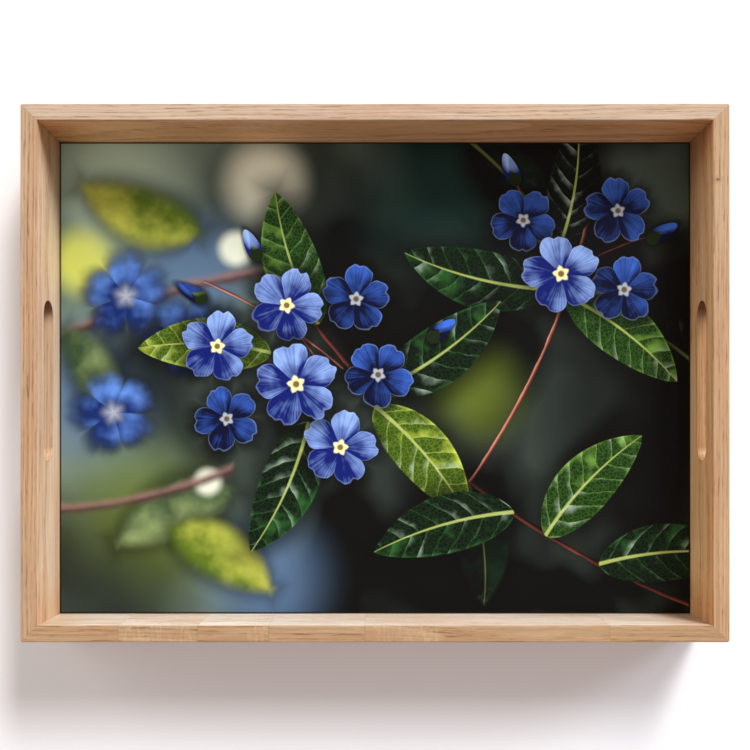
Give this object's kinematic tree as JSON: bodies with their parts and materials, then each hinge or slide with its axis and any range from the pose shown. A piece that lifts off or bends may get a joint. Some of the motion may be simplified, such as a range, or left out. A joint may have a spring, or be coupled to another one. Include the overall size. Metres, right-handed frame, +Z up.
{
  "type": "serving tray",
  "caption": "Rectangular serving tray of mitred oak boards round a printed flat floor, with a finger slot through each short side for carrying.",
  "frame": {"origin": "centre of the tray's footprint, on the surface that it stands on", "axes": "+X along the tray from one handle slot to the other, +Y across it towards the back board, +Z up"},
  "size_m": [0.42, 0.319, 0.055],
  "materials": {
    "oak": "oiled, satin, grain along each board",
    "fibreboard": "hard fibreboard, matte, the screen's mesh pressed into its underside",
    "printed_sheet": "printed melamine sheet, satin",
    "beech": "planed, unfinished"
  },
  "bodies": {
    "root": {"board_front": "oak", "board_right": "oak", "board_back": "oak", "board_left": "oak", "floor_panel": "fibreboard", "printed_sheet": "printed_sheet", "tongue_front_left": "beech", "tongue_front_right": "beech", "tongue_back_right": "beech", "tongue_back_left": "beech"}
  },
  "joints": []
}
